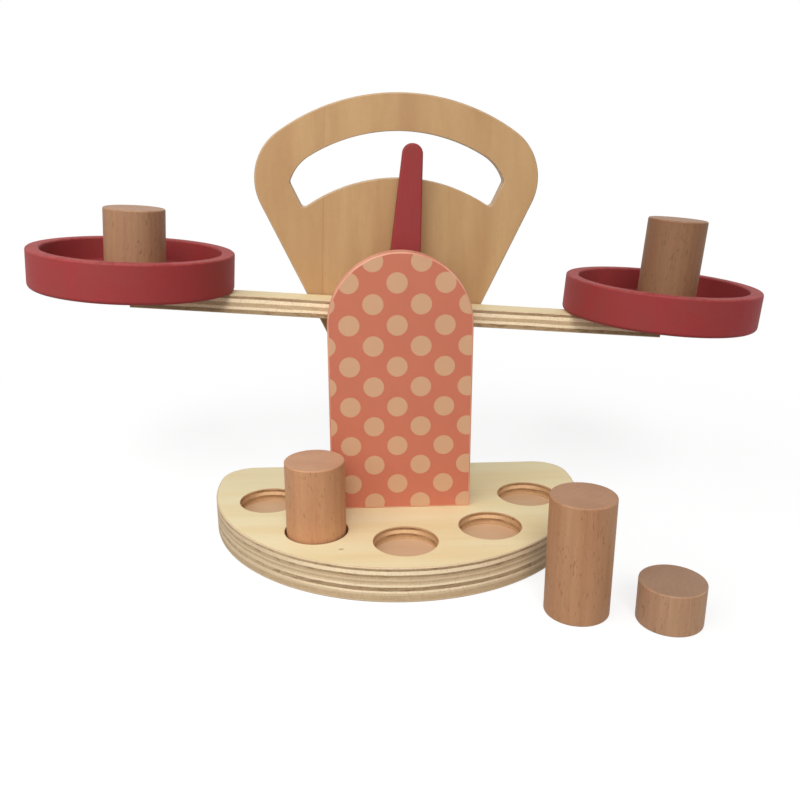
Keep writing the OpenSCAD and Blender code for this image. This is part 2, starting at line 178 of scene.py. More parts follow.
class Colours(PropertyGroup):
    """Colours of the toy's finishes."""
    birch: colour("Birch face", "Plywood face", 240, 226, 183)
    birch_dark: colour("Birch streak", "Darker streaks of the plywood face", 236, 215, 164)
    birch_dash: colour("Birch dash", "Short dashes in the plywood face", 190, 156, 104)
    knot: colour("Knot", "Knot in the base and dashes in the veneer", 150, 108, 66)
    ply_light: colour("Light ply", "Plies cut along their grain", 250, 226, 188)
    ply_pale: colour("Pale ply", "Plies between light and middle", 217, 191, 154)
    ply_mid: colour("Middle ply", "Plies of a middle tone", 200, 171, 133)
    ply_dark: colour("Dark ply", "Plies cut across their grain", 167, 139, 102)
    ply_side: colour("Side ply", "Dark plies where the board's end shows", 193, 167, 130)
    ply_pore: colour("Ply pore", "Pores in the plies", 138, 104, 70)
    ply_clump: colour("Ply clump", "Darkest fibres of the plies cut across their grain", 126, 92, 60)
    # Painted shade: this warm, darker tone deepens the recess walls as shade; the dial's edges take a
    # little of it too.
    ply_warm_dark: colour("Warm ply", "Tone that warms the plies in the recesses and the dial", 232, 208, 186)
    recess_floor: colour("Recess floor", "Inner ply at the foot of a recess", 214, 180, 145)
    recess_dark: colour("Recess streak", "Darker patches of a recess's floor", 204, 167, 130)
    veneer: colour("Veneer", "Face of the dial board", 191, 153, 105)
    veneer_dark: colour("Veneer streak", "Darker bands of the dial board", 177, 135, 90)
    veneer_figure: colour("Veneer figure", "Fine figure of the dial board", 176, 134, 86)
    seam: colour("Seam", "Seam in the dial's veneer", 130, 92, 58)
    coral: colour("Coral", "Paint of the front panel", 193, 108, 82)
    coral_light: colour("Light coral", "Paler patches of the front panel", 204, 122, 94)
    # Painted highlight: the paler coral on the panel's eased edges stands in for the light that they
    # catch.
    coral_edge_highlight: colour("Coral edge", "Thin paint along the panel's edges", 232, 176, 148)
    dots: colour("Dots", "Printed dots of the front panel", 204, 158, 122)
    red: colour("Red", "Paint of the needle and the pans", 149, 48, 49)
    red_dull: colour("Dull red", "Duller patches of the red paint", 143, 54, 52)
    # Painted highlight: a paler red along the top of a pan's rim, standing in for the light that the rim
    # catches.
    red_rim_highlight: colour("Worn red", "Rim of a pan, where hands rub it", 205, 120, 110)
    beech: colour("Beech", "Wood of the weights", 193, 144, 104)
    beech_band: colour("Beech band", "Darker growth bands in the weights", 182, 129, 92)
    beech_grey: colour("Grey beech", "Tone of a weight that light has bleached", 186, 160, 134)
    beech_dark: colour("Beech fleck", "Darker flecks in the weights", 140, 92, 64)
    beech_pale: colour("Pale fleck", "Paler flecks in the weights", 216, 168, 130)
    beech_end: colour("Beech end", "End grain of the weights", 186, 150, 126)
    plain: colour("Plain wood", "Wood of the hidden blocks and dowels", 214, 182, 136)
    plain_dark: colour("Plain streak", "Darker streaks of the hidden wood", 196, 158, 110)
    steel: colour("Steel", "Axle, washers and screws", 196, 198, 202)
    brass: colour("Brass", "Bush of the hub", 214, 184, 118)


class StageSettings(PropertyGroup):
    """Camera, light and floor."""
    camera_place: FloatVectorProperty(name="Camera", description="Where the camera stands", size=3,
                                      subtype="TRANSLATION", unit="LENGTH",
                                      default=(-25.757 * MM, -436.161 * MM, 210.149 * MM))
    camera_turn: angle("Camera turn", "Turn of the view to the right", 3.4632)
    camera_dip: angle("Camera dip", "Dip of the view below level", 17.4367)
    camera_roll: angle("Camera roll", "Roll of the camera", -0.0473)
    lens: FloatProperty(name="Lens", description="Focal length in millimetres", default=38.3165)
    sensor: FloatProperty(name="Sensor", description="Width of the sensor in millimetres", default=36)
    nearest: length("Nearest", "Closest distance that the camera shows", 10)
    farthest: length("Farthest", "Greatest distance that the camera shows", 50000)
    sun: FloatProperty(name="Sun", description="Strength of the main light", default=1.42)
    sun_turn: angle("Sun turn", "Turn of the main light to the left of the front", 0)
    sun_height: angle("Sun height", "Height of the main light above level", 40)
    sun_softness: angle("Sun softness", "Width of the main light", 24)
    side_place: FloatVectorProperty(name="Side light", description="Where the side light stands",
                                    size=3, subtype="TRANSLATION", unit="LENGTH",
                                    default=(-320 * MM, -340 * MM, 450 * MM))
    side_power: FloatProperty(name="Side power", description="Power of the side light in watts",
                              default=1.75)
    side_size: length("Side light size", "Width of the side light", 600)
    sky: FloatProperty(name="Sky", description="Strength of the light from all round", default=0.4)
    floor_radius: length("Floor radius", "Reach of the floor", 4000)
    floor_drop: length("Floor drop", "Depth of the floor below the toy", 0.02)
    floor_level: FloatProperty(name="Floor level", description="How much light the floor throws back",
                               default=0.29)
    floor_glow: FloatProperty(name="Floor glow", description="Light that the floor adds where it is seen",
                              default=0.77)
    floor_near: length("Floor fade start", "Distance at which the floor begins to turn white", 230)
    floor_far: length("Floor fade end", "Distance from which the floor is plain white", 460)


# Nodes

class Value:
    """A socket in a node tree, which takes part in sums like a number."""

    def __init__(self, tree, socket):
        self.tree = tree
        self.socket = socket

    def output(self, key):
        """Another output of the same node."""
        return Value(self.tree, find_socket(self.socket.node.outputs, key))

    def math(self, operation, *others):
        """A Math node on this value and others."""
        return self.tree.maths(operation, self, *others)

    def __add__(self, other):
        return self.math("ADD", other)

    def __radd__(self, other):
        return self.tree.maths("ADD", other, self)

    def __sub__(self, other):
        return self.math("SUBTRACT", other)

    def __rsub__(self, other):
        return self.tree.maths("SUBTRACT", other, self)

    def __mul__(self, other):
        return self.math("MULTIPLY", other)

    def __rmul__(self, other):
        return self.tree.maths("MULTIPLY", other, self)

    def __truediv__(self, other):
        return self.math("DIVIDE", other)

    def __rtruediv__(self, other):
        return self.tree.maths("DIVIDE", other, self)

    def __pow__(self, other):
        return self.math("POWER", other)

    def __rpow__(self, other):
        return self.tree.maths("POWER", other, self)

    def __abs__(self):
        return self.math("ABSOLUTE")


def find_socket(sockets, key):
    """A socket by its number, identifier or name."""
    if isinstance(key, int):
        return sockets[key]
    for socket in sockets:
        if socket.identifier == key:
            return socket
    return sockets[key]


class Tree:
    """A node tree that is written as expressions."""

    def __init__(self, nodes):
        self.nodes = nodes
        nodes.nodes.clear()

    def node(self, kind, settings=None, inputs=None, output=0):
        """A node of a kind, with its settings made before its sockets are filled or linked."""
        made = self.nodes.nodes.new(kind)
        for key, value in (settings or {}).items():
            if key == "stops":
                set_stops(made.color_ramp, value)
            elif key == "items":
                while len(made.index_switch_items) < value:
                    made.index_switch_items.new()
            else:
                setattr(made, key, value)
        for key, value in (inputs or {}).items():
            socket = find_socket(made.inputs, key)
            if isinstance(value, Value):
                self.nodes.links.new(value.socket, socket)
            elif socket.type == "RGBA":
                socket.default_value = tuple(value)[:3] + (1,)
            else:
                socket.default_value = value
        return Value(self, find_socket(made.outputs, output)) if len(made.outputs) else None

    def maths(self, operation, *values):
        """A Math node."""
        return self.node("ShaderNodeMath", {"operation": operation}, dict(enumerate(values)))

    def vector(self, x, y, z):
        """Three numbers as a vector."""
        return self.node("ShaderNodeCombineXYZ", {}, {0: x, 1: y, 2: z})

    def seen(self):
        """1 where the camera looks, straight, in a shine or through glass, and 0 for other light."""
        ray = self.node("ShaderNodeLightPath", {}, {}, "Is Camera Ray")
        straight_or_shine = ray.math("MAXIMUM", ray.output("Is Glossy Ray"))
        return straight_or_shine.math("MAXIMUM", ray.output("Is Transmission Ray"))


def set_stops(ramp, stops):
    """Gives a colour ramp its stops, each a place and a colour."""
    while len(ramp.elements) > 1:
        ramp.elements.remove(ramp.elements[-1])
    ramp.elements[0].position = stops[0][0]
    ramp.elements[0].color = tuple(stops[0][1])[:3] + (1,)
    for place, tone in stops[1:]:
        ramp.elements.new(place).color = tuple(tone)[:3] + (1,)


class Finish(Tree):
    """A material, with its pattern in millimetres in a piece's own frame."""

    def __init__(self, name, place=STRAIGHT, seed=0.0):
        self.material = bpy.data.materials.new(name)
        self.material.use_nodes = True
        super().__init__(self.material.node_tree)
        self.coordinates = self.node("ShaderNodeTexCoord", {}, {}, "Object")
        self.point = self.node("ShaderNodeMapping", {"vector_type": "TEXTURE"}, {
            "Vector": self.coordinates,
            "Location": place.to_translation(),
            "Rotation": place.to_euler(),
            "Scale": (MM, MM, MM),
        })
        split = self.node("ShaderNodeSeparateXYZ", {}, {0: self.point})
        self.x, self.y, self.z = split, split.output("Y"), split.output("Z")
        self.seed = seed

    def facing(self):
        """How far the surface faces right, from -1 to 1."""
        return self.node("ShaderNodeSeparateXYZ", {}, {0: self.coordinates.output("Normal")})

    def noise(self, along, detail=2.0, roughness=0.5, shift=0.0):
        """Smooth noise from 0 to 1, whose features are stretched by the numbers in along."""
        stretched = self.node("ShaderNodeVectorMath", {"operation": "MULTIPLY_ADD"}, {
            0: self.point,
            1: tuple(1 / size for size in along),
            2: (self.seed + shift, 1.7 * self.seed - shift, 0.6 * self.seed + 2 * shift),
        })
        return self.node("ShaderNodeTexNoise", {}, {
            "Vector": stretched, "Scale": 1.0, "Detail": detail, "Roughness": roughness,
        })

    def rise(self, value, low, high):
        """Runs softly from 0 to 1 while the value goes from low to high."""
        return self.node("ShaderNodeMapRange", {"interpolation_type": "SMOOTHSTEP"}, {
            "Value": value, "From Min": low, "From Max": high,
        })

    def mix(self, factor, first, second, blend="MIX"):
        """A colour between two others."""
        return self.node("ShaderNodeMix", {"data_type": "RGBA", "blend_type": blend}, {
            "Factor_Float": factor, "A_Color": first, "B_Color": second,
        }, "Result_Color")

    def tint(self, tone, level):
        """A colour made lighter or darker by a number."""
        return self.node("ShaderNodeVectorMath", {"operation": "SCALE"}, {
            "Vector": tone, "Scale": level,
        })

    def ramp(self, value, stops):
        """A colour from a row of stops."""
        return self.node("ShaderNodeValToRGB", {"stops": stops}, {0: value})

    def surface(self, tone, roughness, height, depth, strength, **fixed):
        """Ends the material in a shader, with bumps that are depth millimetres high."""
        bumps = self.node("ShaderNodeBump", {}, {
            "Strength": strength, "Distance": depth * MM, "Height": height,
        })
        inputs = {"Base Color": tone, "Roughness": roughness, "Normal": bumps}
        inputs.update({key.replace("_", " "): value for key, value in fixed.items()})
        shader = self.node("ShaderNodeBsdfPrincipled", {}, inputs)
        self.node("ShaderNodeOutputMaterial", {}, {"Surface": shader})
        return self.material


# Finishes

def birch_face(colours):
    """The lacquered face of the plywood base, with its grain from side to side."""
    made = Finish("birch face", seed=3.1)
    slow = made.noise((120, 16, 16), detail=3)
    streak = made.noise((45, 1.6, 1.6), detail=3, roughness=0.6, shift=4)
    fibre = made.noise((9, 0.35, 0.35), detail=2, shift=9)
    tone = made.mix(made.rise(slow, 0.32, 0.7), colours.birch, colours.birch_dark)
    tone = made.tint(tone, 0.945 + 0.08 * streak + 0.03 * fibre)
    dash = made.rise(made.noise((4.5, 0.5, 0.5), detail=1, shift=14), 0.7, 0.78)
    tone = made.mix(dash * 0.16, tone, colours.birch_dash)
    knot_x, knot_y = made.x + 31.8, made.y + 64.0
    knot = 1 - made.rise(((knot_x / 1.5) ** 2 + (knot_y / 0.7) ** 2) ** 0.5, 0.5, 1.3)
    upper_half = made.rise(made.z, 9, 10)
    tone = made.mix(knot * 0.7 * upper_half, tone, colours.knot)
    return made.surface(tone, 0.5 + 0.12 * fibre, fibre + 0.6 * streak, 0.12, 0.45)


def thickness_of(plies):
    """The thickness of all plies together."""
    return sum(ply[0] for ply in plies)


def ply_stops(plies, tones):
    """Stops of a colour ramp for a board's plies, with the tones by their names."""
    whole = thickness_of(plies)
    blurred = 0.08 / whole
    stops, reached = [], 0.0
    for thickness, tone in plies:
        share = thickness / whole
        stops += [(reached + blurred, tones[tone]), (reached + share - blurred, tones[tone])]
        reached += share
    return stops


# Plies from a board's top or front, each a thickness in millimetres and a tone
BASE_PLIES = (
    (0.5, "pale"), (1.2, "dark"), (2.0, "light"), (1.1, "dark"), (1.0, "mid"), (1.0, "pale"),
    (1.1, "mid"), (0.9, "pale"), (1.2, "light"), (2.0, "dark"), (1.1, "light"), (1.1, "pale"),
    (2.7, "mid"), (0.6, "pale"), (0.5, "mid"),
)
BEAM_PLIES = (
    (0.5, "pale"), (1.4, "dark"), (1.8, "light"), (2.0, "mid"), (1.5, "light"), (1.7, "dark"),
    (0.6, "mid"),
)
DIAL_PLIES = (
    (0.9, "mid"), (1.4, "dark"), (1.5, "light"), (1.4, "mid"), (1.5, "light"), (1.4, "dark"),
    (0.9, "mid"),
)


def ply_edge(colours, name, place, high, plies, warm_darkening=0.0):
    """The cut edge of a board: plies in turn along and across the grain.

    The plies are counted from the board's high side, in millimetres in its own frame."""
    made = Finish(name, place, seed=high)
    wobble = made.noise((30, 30, 9), detail=2) - 0.5
    fine = made.noise((3, 3, 1.2), detail=2, shift=5) - 0.5
    share = (high - made.z + 0.7 * wobble + 0.3 * fine) / thickness_of(plies)
    front = {"light": colours.ply_light, "pale": colours.ply_pale,
             "mid": colours.ply_mid, "dark": colours.ply_dark}
    side = {"light": colours.ply_pale, "pale": colours.ply_pale,
            "mid": colours.ply_side, "dark": colours.ply_side}
    sideways = made.rise(abs(made.facing()), 0.25, 0.8)
    tone = made.mix(sideways, made.ramp(share, ply_stops(plies, front)),
                    made.ramp(share, ply_stops(plies, side)))
    blotch = made.noise((9, 9, 2.5), detail=3, roughness=0.6, shift=8)
    dashes = made.noise((0.7, 0.7, 3.2), detail=2, roughness=0.6, shift=17)
    tone = made.tint(tone, 0.76 + 0.22 * blotch + 0.28 * dashes)
    pores = made.rise(made.noise((0.8, 0.8, 0.6), detail=2, shift=12), 0.58, 0.7)
    tone = made.mix(pores * 0.3, tone, colours.ply_pore)
    coarse = {"light": (0, 0, 0), "pale": (0, 0, 0), "mid": (0.25, 0.25, 0.25), "dark": (1, 1, 1)}
    clumps = made.rise(made.noise((5, 5, 1.2), detail=3, roughness=0.65, shift=21), 0.46, 0.68)
    clumps = 0.75 * clumps * made.ramp(share, ply_stops(plies, coarse))
    tone = made.mix(clumps, tone, colours.ply_clump)
    # A warm, darker tone multiplies the plies by a share: painted shade on the recess walls, and a milder
    # darkening of the dial's edges.
    if warm_darkening:
        tone = made.mix(warm_darkening, tone, colours.ply_warm_dark, "MULTIPLY")
    return made.surface(tone, 0.62, blotch + dashes + 0.5 * pores, 0.15, 0.4)


def recess_floor(colours):
    """The bored floor of a recess, an inner ply with its grain from side to side."""
    made = Finish("recess floor", seed=7.7)
    slow = made.noise((30, 9, 9), detail=2)
    fibre = made.noise((7, 0.5, 0.5), detail=2, shift=3)
    tone = made.mix(slow, colours.recess_floor, colours.recess_dark)
    tone = made.tint(tone, 0.93 + 0.16 * fibre)
    return made.surface(tone, 0.62, fibre, 0.15, 0.4)


def dial_veneer(colours):
    """The dial board's face, with its grain upright, broad bands and one seam."""
    made = Finish("dial veneer", upright, seed=1.3)
    bands = made.noise((20, 130, 20), detail=3, roughness=0.5)
    figure = made.noise((4.5, 42, 4.5), detail=4, roughness=0.6, shift=6)
    fibre = made.noise((0.5, 14, 0.5), detail=3, roughness=0.6, shift=11)
    cloud = made.noise((3.5, 5, 3.5), detail=3, roughness=0.6, shift=31)
    tone = made.mix(made.rise(bands, 0.34, 0.66), colours.veneer, colours.veneer_dark)
    tone = made.mix(0.5 * made.rise(figure, 0.5, 0.72), tone, colours.veneer_figure)
    tone = made.tint(tone, 0.9 + 0.11 * figure + 0.07 * fibre + 0.08 * cloud)
    dash = made.rise(made.noise((0.35, 3.5, 0.35), detail=1, shift=16), 0.66, 0.76)
    tone = made.mix(dash * 0.25, tone, colours.knot)
    seam_left, seam_high, seam_lean = 36.1, 220, 0.037
    past_seam = made.x + seam_left + (seam_high - made.y) * seam_lean
    strip = made.rise(past_seam, 0, 0.3) * (1 - made.rise(past_seam, 2.2, 3.4))
    tone = made.tint(tone, 1 + 0.035 * strip)
    line = 1 - made.rise(abs(past_seam), 0.05, 0.28)
    broken = made.rise(made.noise((9, 14, 9), detail=2, shift=23), 0.3, 0.6)
    tone = made.mix(line * (0.08 + 0.22 * broken), tone, colours.seam)
    return made.surface(tone, 0.52 + 0.1 * fibre, fibre - 1.5 * line, 0.12, 0.4)


def coral_paint(colours, sizes, dotted):
    """Satin coral paint with rows of pale dots on its front, and a paler coral on the panel's eased edges
    as a painted highlight.
    """
    made = Finish("coral paint" if dotted else "coral edge", seed=5.2)
    mottle = made.noise((14, 14, 20), detail=3)
    speck = made.noise((0.7, 0.7, 0.9), detail=2, shift=7)
    tone = made.mix(0.3 * mottle, colours.coral, colours.coral_light)
    tone = made.tint(tone, 0.95 + 0.06 * mottle + 0.04 * speck)
    if dotted:
        across, up = sizes.dots_across / MM, sizes.dots_up / MM
        first_x, first_z = sizes.dots_right / MM, sizes.dots_high / MM
        radius, blurred, front = sizes.dot_radius / MM, 0.45, panel_low.y / MM
        reach = None
        # Every second row lies half a step aside
        for shift in (0, 0.5):
            column = (made.x - (first_x + shift * across)) / across
            row = (made.z - (first_z + shift * up)) / up
            column = (column - (column + 0.5).math("FLOOR")) * across
            row = (row - (row + 0.5).math("FLOOR")) * up
            away = (column ** 2 + row ** 2) ** 0.5
            reach = away if reach is None else reach.math("MINIMUM", away)
        printed = 1 - made.rise(reach, radius, radius + blurred)
        printed = printed * (1 - made.rise(made.y - front, 0.12, 0.3))
        tone = made.mix(printed, tone, made.tint(colours.dots, 0.96 + 0.08 * mottle))
    else:
        # Painted highlight: the edges get a paler coral, standing in for the light that the rounded edges
        # catch.
        tone = made.mix(0.35 + 0.3 * made.rise(mottle, 0.3, 0.6), tone, colours.coral_edge_highlight)
    return made.surface(tone, 0.45 + 0.1 * speck, speck, 0.06, 0.35)


def red_paint(colours, name, place, grain, rim=None):
    """Matt red paint over a grain, a little paler along the top of a rim at a height as a painted
    highlight.
    """
    made = Finish(name, place, seed=2.4)
    mottle = made.noise((16, 16, 16), detail=3)
    cloud = made.noise((3.2, 3.2, 3.2), detail=3, shift=5)
    fibre = made.noise(grain, detail=3, roughness=0.6, shift=9)
    tone = made.mix(made.rise(mottle, 0.3, 0.7), colours.red, colours.red_dull)
    tone = made.tint(tone, 0.9 + 0.08 * cloud + 0.12 * fibre)
    if rim is not None:
        # Painted highlight: the top of the rim is made a little paler, in patches.
        rim_highlight = made.rise(made.z, rim - 1.1, rim - 0.2) * made.rise(cloud, 0.35, 0.6)
        tone = made.mix(0.14 * rim_highlight, tone, colours.red_rim_highlight)
    return made.surface(tone, 0.6 + 0.08 * cloud, fibre + 0.5 * cloud, 0.12, 0.4,
                        Specular_IOR_Level=0.3)


def beech(colours, name, place, seed, height, side_tone_and_shade, end_tone_and_shade, bleach):
    """Turned beech with upright grain, growth rings and short dark flecks, a painted highlight on the
    rounded edges at its ends, and levels that hold painted shade.
    """
    made = Finish(name, place, seed=seed)
    wander = made.noise((20, 20, 90), detail=2)
    pith_x, pith_y = -9 * cos(seed), -26 - 6 * sin(seed)
    from_pith = ((made.x - pith_x) ** 2 + (made.y - pith_y) ** 2) ** 0.5 + 5 * wander
    ring = (from_pith * 2.1).math("SINE") * 0.5 + 0.5
    slow = made.noise((10, 10, 120), detail=2, shift=3)
    band = made.noise((1.5, 1.5, 50), detail=2, shift=29)
    fibre = made.noise((0.5, 0.5, 12), detail=3, roughness=0.6, shift=6)
    tone = made.mix(made.rise(slow, 0.3, 0.7), colours.beech, colours.beech_band)
    tone = made.mix(bleach, tone, colours.beech_grey)
    tone = made.tint(tone, 0.82 + 0.06 * ring + 0.16 * band + 0.14 * fibre)
    crowd = made.rise(made.noise((7, 7, 18), detail=2, shift=33), 0.35, 0.6)
    fleck = made.rise(made.noise((0.75, 0.75, 3.4), detail=1, shift=11), 0.6, 0.72)
    tone = made.mix(fleck * (0.14 + 0.4 * crowd), tone, colours.beech_dark)
    pale = made.rise(made.noise((0.6, 0.6, 6.0), detail=1, shift=19), 0.64, 0.76)
    tone = made.mix(pale * 0.25, tone, colours.beech_pale)
    middle = height / 2
    end = made.rise(abs(made.z - middle), middle - 0.35, middle - 0.1)
    # Painted highlight: the rounded edge at each end is made lighter, in patches.
    lip = made.rise(abs(made.z - middle), middle - 0.85, middle - 0.6) * (1 - end)
    lip = lip * made.rise(made.noise((6, 6, 6), detail=2, shift=37), 0.4, 0.6)
    tone = made.mix(0.45 * end, tone, colours.beech_end)
    # Painted shade: the side and ends are scaled by levels that hold painted shade as well as the wood's
    # own tone.
    tone = made.tint(tone, side_tone_and_shade + (end_tone_and_shade - side_tone_and_shade) * end + 0.16 * lip)
    return made.surface(tone, 0.5 + 0.14 * fibre, fibre + 0.5 * band - 0.8 * fleck, 0.14, 0.45,
                        Specular_IOR_Level=0.3)


def plain_wood(colours, name, place, along):
    """Sanded wood of the hidden blocks and dowels."""
    made = Finish(name, place, seed=9.4)
    slow = made.noise(tuple(6 * size for size in along), detail=2)
    fibre = made.noise(along, detail=3, roughness=0.6, shift=4)
    tone = made.mix(made.rise(slow, 0.3, 0.7), colours.plain, colours.plain_dark)
    tone = made.tint(tone, 0.9 + 0.16 * fibre)
    return made.surface(tone, 0.62, fibre, 0.14, 0.4)


def metal(name, tone, along, place=STRAIGHT):
    """Bright metal with turning marks and a little tarnish."""
    made = Finish(name, place, seed=6.6)
    marks = made.noise(along, detail=2)
    cloud = made.noise((5, 5, 5), detail=2, shift=8)
    return made.surface(made.tint(tone, 0.86 + 0.2 * cloud), 0.28 + 0.16 * marks + 0.1 * cloud,
                        marks, 0.02, 0.3, Metallic=1.0)


# Shapes

def arc(centre, radius, start, end, steps=24):
    """Points round part of a circle, from one angle in degrees to another."""
    turns = [radians(start + (end - start) * step / steps) for step in range(steps + 1)]
    return [(centre[0] + radius * cos(turn), centre[1] + radius * sin(turn)) for turn in turns]


def hole_ring(centre, radius, steps):
    """A circle that runs backwards, as the edge of a hole does."""
    return arc(centre, radius, 360, 0, steps)[:-1]


def crown(centre, reach, shoulder, corner, start):
    """A round top between two rounded shoulders.

    The right shoulder starts at an angle above level, and the left one mirrors it."""
    turn, first = degrees(atan2(shoulder[1] - centre, shoulder[0])), degrees(start)
    return (arc(shoulder, corner, first, turn)
            + arc((0, centre), reach, turn, 180 - turn, steps=72)[1:-1]
            + arc((-shoulder[0], shoulder[1]), corner, 180 - turn, 180 - first))


def slope_meets_circle(foot, flare, centre, radius):
    """Where a line that leans out to the right from its foot meets a circle on the mid line."""
    lean, below = tan(flare), foot[1] - centre
    whole = lean ** 2 + 1
    half = foot[0] * lean + below
    rest = foot[0] ** 2 + below ** 2 - radius ** 2
    climb = ((half ** 2 - whole * rest) ** 0.5 - half) / whole
    return foot[0] + climb * lean, foot[1] + climb


def inset(outline, depth):
    """The outline moved into the wood by a depth, with its corners kept."""
    moved = []
    for before, here, after in zip(outline[-1:] + outline[:-1], outline, outline[1:] + outline[:1]):
        first = Vector((here[0] - before[0], here[1] - before[1])).normalized()
        second = Vector((after[0] - here[0], after[1] - here[1])).normalized()
        inward = Vector((-first.y - second.y, first.x + second.x)).normalized()
        share = inward.x * -first.y + inward.y * first.x
        moved.append((here[0] + inward.x * depth / share, here[1] + inward.y * depth / share))
    return moved


def round_corners(outline, radius, sharpest=20, steps=6):
    """The outline with each real corner rounded."""
    points = [Vector(point) for point in outline]
    corners = {}
    for number, here in enumerate(points):
        arriving = (here - points[number - 1]).normalized()
        leaving = (points[(number + 1) % len(points)] - here).normalized()
        turn = arriving.angle(leaving)
        if turn > radians(sharpest):
            corners[number] = here, arriving, leaving, radius * tan(turn / 2)
    rounded = []
    for number, here in enumerate(points):
        if number in corners:
            _, arriving, leaving, cut = corners[number]
            start, end = here - arriving * cut, here + leaving * cut
            for step in range(steps + 1):
                share = step / steps
                rounded.append(tuple(start * (1 - share) ** 2 + here * 2 * share * (1 - share)
                                     + end * share ** 2))
        elif all((here - corner).length > 1.05 * cut for corner, _, _, cut in corners.values()):
            rounded.append(tuple(here))
    return rounded


def eased(outline, low, high, ease, steps=3):
    """Rings up the side of a board, with both its edges rounded."""
    quarter = [radians(90 * step / steps) for step in range(steps + 1)]
    rise = [(ease * (1 - sin(turn)), low + ease * (1 - cos(turn))) for turn in quarter]
    fall = [(ease * (1 - sin(turn)), high - ease * (1 - cos(turn))) for turn in reversed(quarter)]
    return [(inset(outline, depth), height) for depth, height in rise + fall]


def screw_way(centre, shank, head, sink, low, high, from_below=True):
    """Rings of a screw hole through a board, with a sink for the head at one end."""
    slope = head - shank
    if from_below:
        levels = [(head, low), (head, low + sink), (shank, low + sink + slope), (shank, high)]
    else:
        levels = [(shank, low), (shank, high - sink - slope), (head, high - sink), (head, high)]
    return [(hole_ring(centre, radius, steps=24), height) for radius, height in levels]


class Board:
    """A closed board, cut to an outline, with holes and pockets."""

    def __init__(self, place):
        self.mesh = bmesh.new()
        self.place = place
        self.low_edges = []
        self.high_edges = []

    def side(self, rings, finish=EDGE, pocket=False):
        """Adds the wall of the outline, a hole or a pocket."""
        made = []
        for outline, height in rings:
            made.append([self.mesh.verts.new(self.place @ Vector((x, y, height)))
                         for x, y in outline])
        for low, high in zip(made, made[1:]):
            for start, end in zip(range(-1, len(low) - 1), range(len(low))):
                wall = self.mesh.faces.new((low[start], low[end], high[end], high[start]))
                wall.material_index = finish
        if pocket:
            self.cap([made[0]], FLOOR)
        else:
            self.low_edges.append(made[0])
        self.high_edges.append(made[-1])

    def cap(self, loops, finish):
        """Fills the flat face between an outline and the holes in it."""
        edges = [self.mesh.edges.get((loop[i - 1], loop[i])) for loop in loops
                 for i in range(len(loop))]
        normal = self.place.to_3x3() @ Vector((0, 0, 1))
        filled = bmesh.ops.triangle_fill(self.mesh, use_beauty=True, edges=edges, normal=normal)
        for item in filled["geom"]:
            if isinstance(item, bmesh.types.BMFace):
                item.material_index = finish

    def piece(self, name, finishes):
        """Closes both faces and gives the finished object."""
        self.cap(self.low_edges, FACE)
        self.cap(self.high_edges, FACE)
        mesh = bpy.data.meshes.new(name)
        bmesh.ops.recalc_face_normals(self.mesh, faces=self.mesh.faces[:])
        self.mesh.to_mesh(mesh)
        self.mesh.free()
        for finish in finishes:
            mesh.materials.append(finish)
        return add_piece(name, mesh)


def put_in_scene(name, data):
    """A new object in the scene."""
    made = bpy.data.objects.new(name, data)
    bpy.context.scene.collection.objects.link(made)
    return made


def add_piece(name, mesh):
    """Puts a mesh in the scene, smooth but for its real edges."""
    piece = put_in_scene(name, mesh)
    mesh.polygons.foreach_set("use_smooth", [True] * len(mesh.polygons))
    mesh.set_sharp_from_angle(angle=radians(35))
    smooth = piece.modifiers.new("Flat faces stay flat", "WEIGHTED_NORMAL")
    smooth.keep_sharp = True
    return piece


def lathe(tree, corners, segments, finish):
    """Nodes that round the corners of a half section and turn it about the upright axis.

    Each corner has a distance from the axis, a height and a rounding."""
    index = tree.node("GeometryNodeInputIndex")
    places = {0: index}
    roundings = {0: index}
    for number, (reach, height, rounding) in enumerate(corners):
        places[number + 1] = tree.vector(reach, 0, height)
        roundings[number + 1] = rounding
    count = len(corners)
    line = tree.node("GeometryNodeMeshLine", {}, {"Count": count})
    bent = tree.node("GeometryNodeSetPosition", {}, {
        "Geometry": line,
        "Position": tree.node("GeometryNodeIndexSwitch", {"data_type": "VECTOR", "items": count},
                              places),
    })
    section = tree.node("GeometryNodeMeshToCurve", {}, {"Mesh": bent})
    section = tree.node("GeometryNodeFilletCurve", {"mode": "POLY"}, {
        "Curve": section, "Count": 4, "Limit Radius": True,
        "Radius": tree.node("GeometryNodeIndexSwitch", {"data_type": "FLOAT", "items": count},
                            roundings),
    })
    section = tree.node("GeometryNodeCurveToMesh", {}, {"Curve": section})
    points = tree.node("GeometryNodeAttributeDomainSize", {"component": "MESH"},
                       {"Geometry": section}, "Point Count")
    sheet = tree.node("GeometryNodeMeshGrid", {}, {
        "Size X": 1, "Size Y": 1, "Vertices X": segments + 1, "Vertices Y": points,
    })
    position = tree.node("GeometryNodeInputPosition")
    across = tree.node("ShaderNodeSeparateXYZ", {}, {0: position})
    turn = (across + 0.5) * radians(360)
    corner = ((across.output("Y") + 0.5) * (points - 1) + 0.5).math("FLOOR")
    found = tree.node("GeometryNodeSampleIndex", {"data_type": "FLOAT_VECTOR", "domain": "POINT"}, {
        "Geometry": section, "Value": position, "Index": corner,
    })
    found = tree.node("ShaderNodeSeparateXYZ", {}, {0: found})
    turned = tree.node("GeometryNodeSetPosition", {}, {
        "Geometry": sheet,
        "Position": tree.vector(found * turn.math("COSINE"), found * turn.math("SINE"),
                                found.output("Z")),
    })
    closed = tree.node("GeometryNodeMergeByDistance", {}, {"Geometry": turned, "Distance": WELD})
    real = tree.node("GeometryNodeRealizeInstances", {}, {"Geometry": closed})
    return tree.node("GeometryNodeSetMaterial", {}, {"Geometry": real, "Material": finish})


